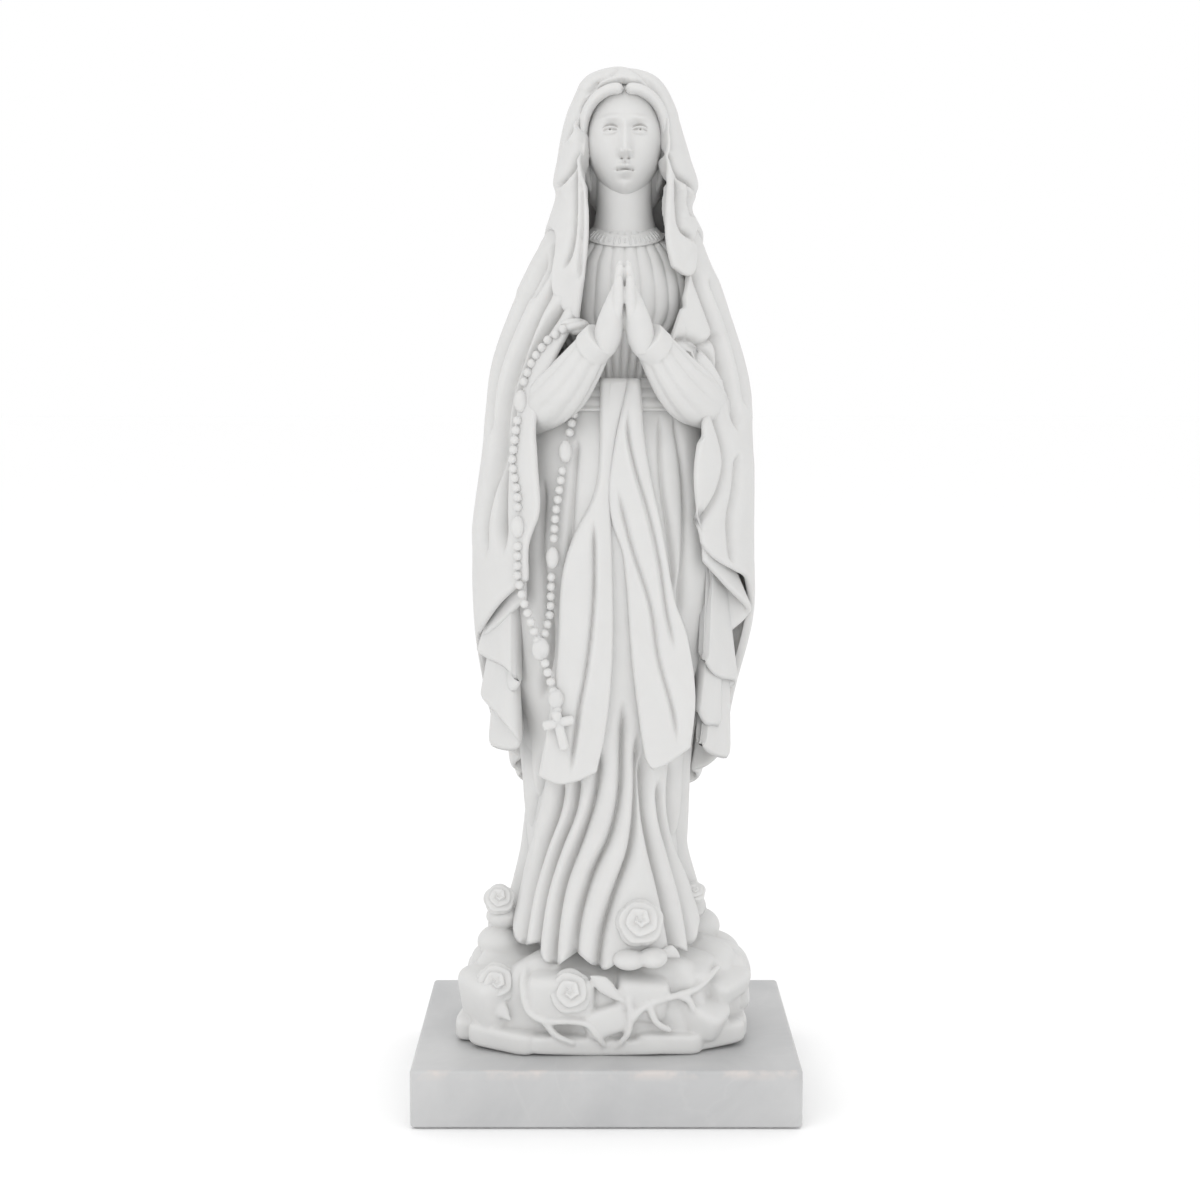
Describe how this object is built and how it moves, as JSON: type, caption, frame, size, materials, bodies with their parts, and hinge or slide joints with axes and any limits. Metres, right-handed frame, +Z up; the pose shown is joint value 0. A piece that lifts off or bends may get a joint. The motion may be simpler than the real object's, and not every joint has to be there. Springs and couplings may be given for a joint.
{
  "type": "virgin mary statue",
  "caption": "Veiled Marian figure at prayer, cast in white stone with a rosary and a rose-strewn rock, fixed on a rectangular marble plinth.",
  "frame": {"origin": "centre of the plinth's underside, on the surface that the statue stands on", "axes": "+Z up through the figure; the figure faces -Y; +X is to the right of someone facing the figure"},
  "size_m": [0.1, 0.08, 0.2703],
  "materials": {
    "white_stone": "soft satin, slightly translucent cast marble",
    "grey_marble": "honed, faintly clouded light grey marble with worn edges"
  },
  "bodies": {
    "root": {"figure": "white_stone", "plinth": "grey_marble"}
  },
  "joints": []
}
